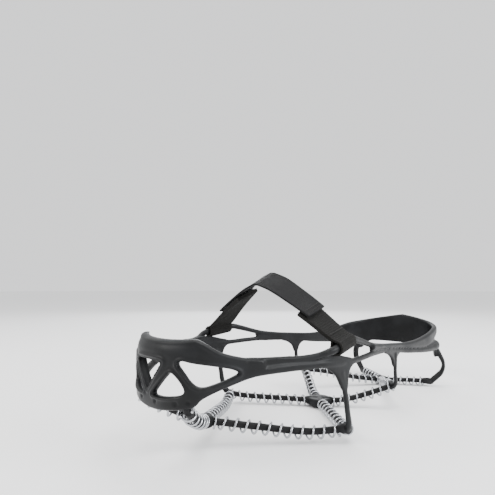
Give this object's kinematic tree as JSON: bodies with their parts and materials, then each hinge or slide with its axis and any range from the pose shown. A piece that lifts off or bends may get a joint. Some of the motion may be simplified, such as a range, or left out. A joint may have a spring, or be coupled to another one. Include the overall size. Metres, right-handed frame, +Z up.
{
  "type": "shoe ice cleat",
  "caption": "Elastic rubber harness that stretches over a boot, with steel spring coils on the cords under the sole and a webbing strap over the instep.",
  "frame": {"origin": "centre of the footprint, on the ground that the coils stand on", "axes": "+Z up, -Y towards the toe, +X towards the side whose strap end carries the long strap"},
  "size_m": [0.1379, 0.3234, 0.1059],
  "materials": {
    "rubber": "satin moulded",
    "coil_steel": "bright drawn wire",
    "webbing": "woven nylon",
    "hook_and_loop": "napped"
  },
  "bodies": {
    "harness": {"toe_bumper": "rubber", "front_rail_left": "rubber", "front_rail_right": "rubber", "strap_bar_left": "rubber", "strap_bar_right": "rubber", "side_branch_left": "rubber", "side_branch_right": "rubber", "mid_rail_left": "rubber", "mid_rail_right": "rubber", "rear_rail_left": "rubber", "rear_rail_right": "rubber", "front_strut_left": "rubber", "front_strut_right": "rubber", "arch_strut_left": "rubber", "arch_strut_right": "rubber", "toe_joint": "rubber", "centre_hub": "rubber", "front_corner_left": "rubber", "front_corner_right": "rubber", "arch_corner_left": "rubber", "arch_corner_right": "rubber", "toe_stub_left_cord": "rubber", "toe_stub_right_cord": "rubber", "toe_run_left_cord": "rubber", "toe_run_right_cord": "rubber", "front_run_left_cord": "rubber", "front_run_right_cord": "rubber", "arch_run_left_cord": "rubber", "arch_run_right_cord": "rubber", "rear_run_left_cord": "rubber", "rear_run_right_cord": "rubber", "toe_stub_left_coil": "coil_steel", "toe_stub_right_coil": "coil_steel", "toe_run_left_coil": "coil_steel", "toe_run_right_coil": "coil_steel", "front_run_left_coil": "coil_steel", "front_run_right_coil": "coil_steel", "arch_run_left_coil": "coil_steel", "arch_run_right_coil": "coil_steel", "rear_run_left_coil": "coil_steel", "rear_run_right_coil": "coil_steel"},
    "heel": {"heel_band": "rubber", "heel_strut_left": "rubber", "heel_strut_right": "rubber", "heel_corner_left": "rubber", "heel_corner_right": "rubber", "rear_joint": "rubber", "heel_run_left_cord": "rubber", "heel_run_right_cord": "rubber", "heel_run_left_coil": "coil_steel", "heel_run_right_coil": "coil_steel"},
    "strap": {"instep_strap": "webbing", "strap_end_loop": "webbing", "hook_tape": "hook_and_loop"},
    "tab": {"tab_end_loop": "webbing", "loop_tape": "hook_and_loop"}
  },
  "joints": [
    {"name": "strap_swing", "type": "hinge", "parent": "harness", "child": "strap", "pos_m": [0.0625, -0.06, 0.0627], "axis": [-0.1431, 0.9793, 0.1431], "range_deg": [0, 150]},
    {"name": "tab_swing", "type": "hinge", "parent": "harness", "child": "tab", "pos_m": [-0.0625, -0.06, 0.0627], "axis": [-0.1431, -0.9793, -0.1431], "range_deg": [0, 60]},
    {"name": "heel_stretch", "type": "slide", "parent": "harness", "child": "heel", "axis": [0, 1, 0], "range_m": [0, 0.025], "stiffness_N_per_m": 1500, "deforming": ["rear_rail_left", "rear_rail_right", "rear_run_left_cord", "rear_run_right_cord", "rear_run_left_coil", "rear_run_right_coil"]}
  ],
  "couplings": [
    {"joint": "tab_swing", "follows": "strap_swing", "ratio": 0.4}
  ]
}
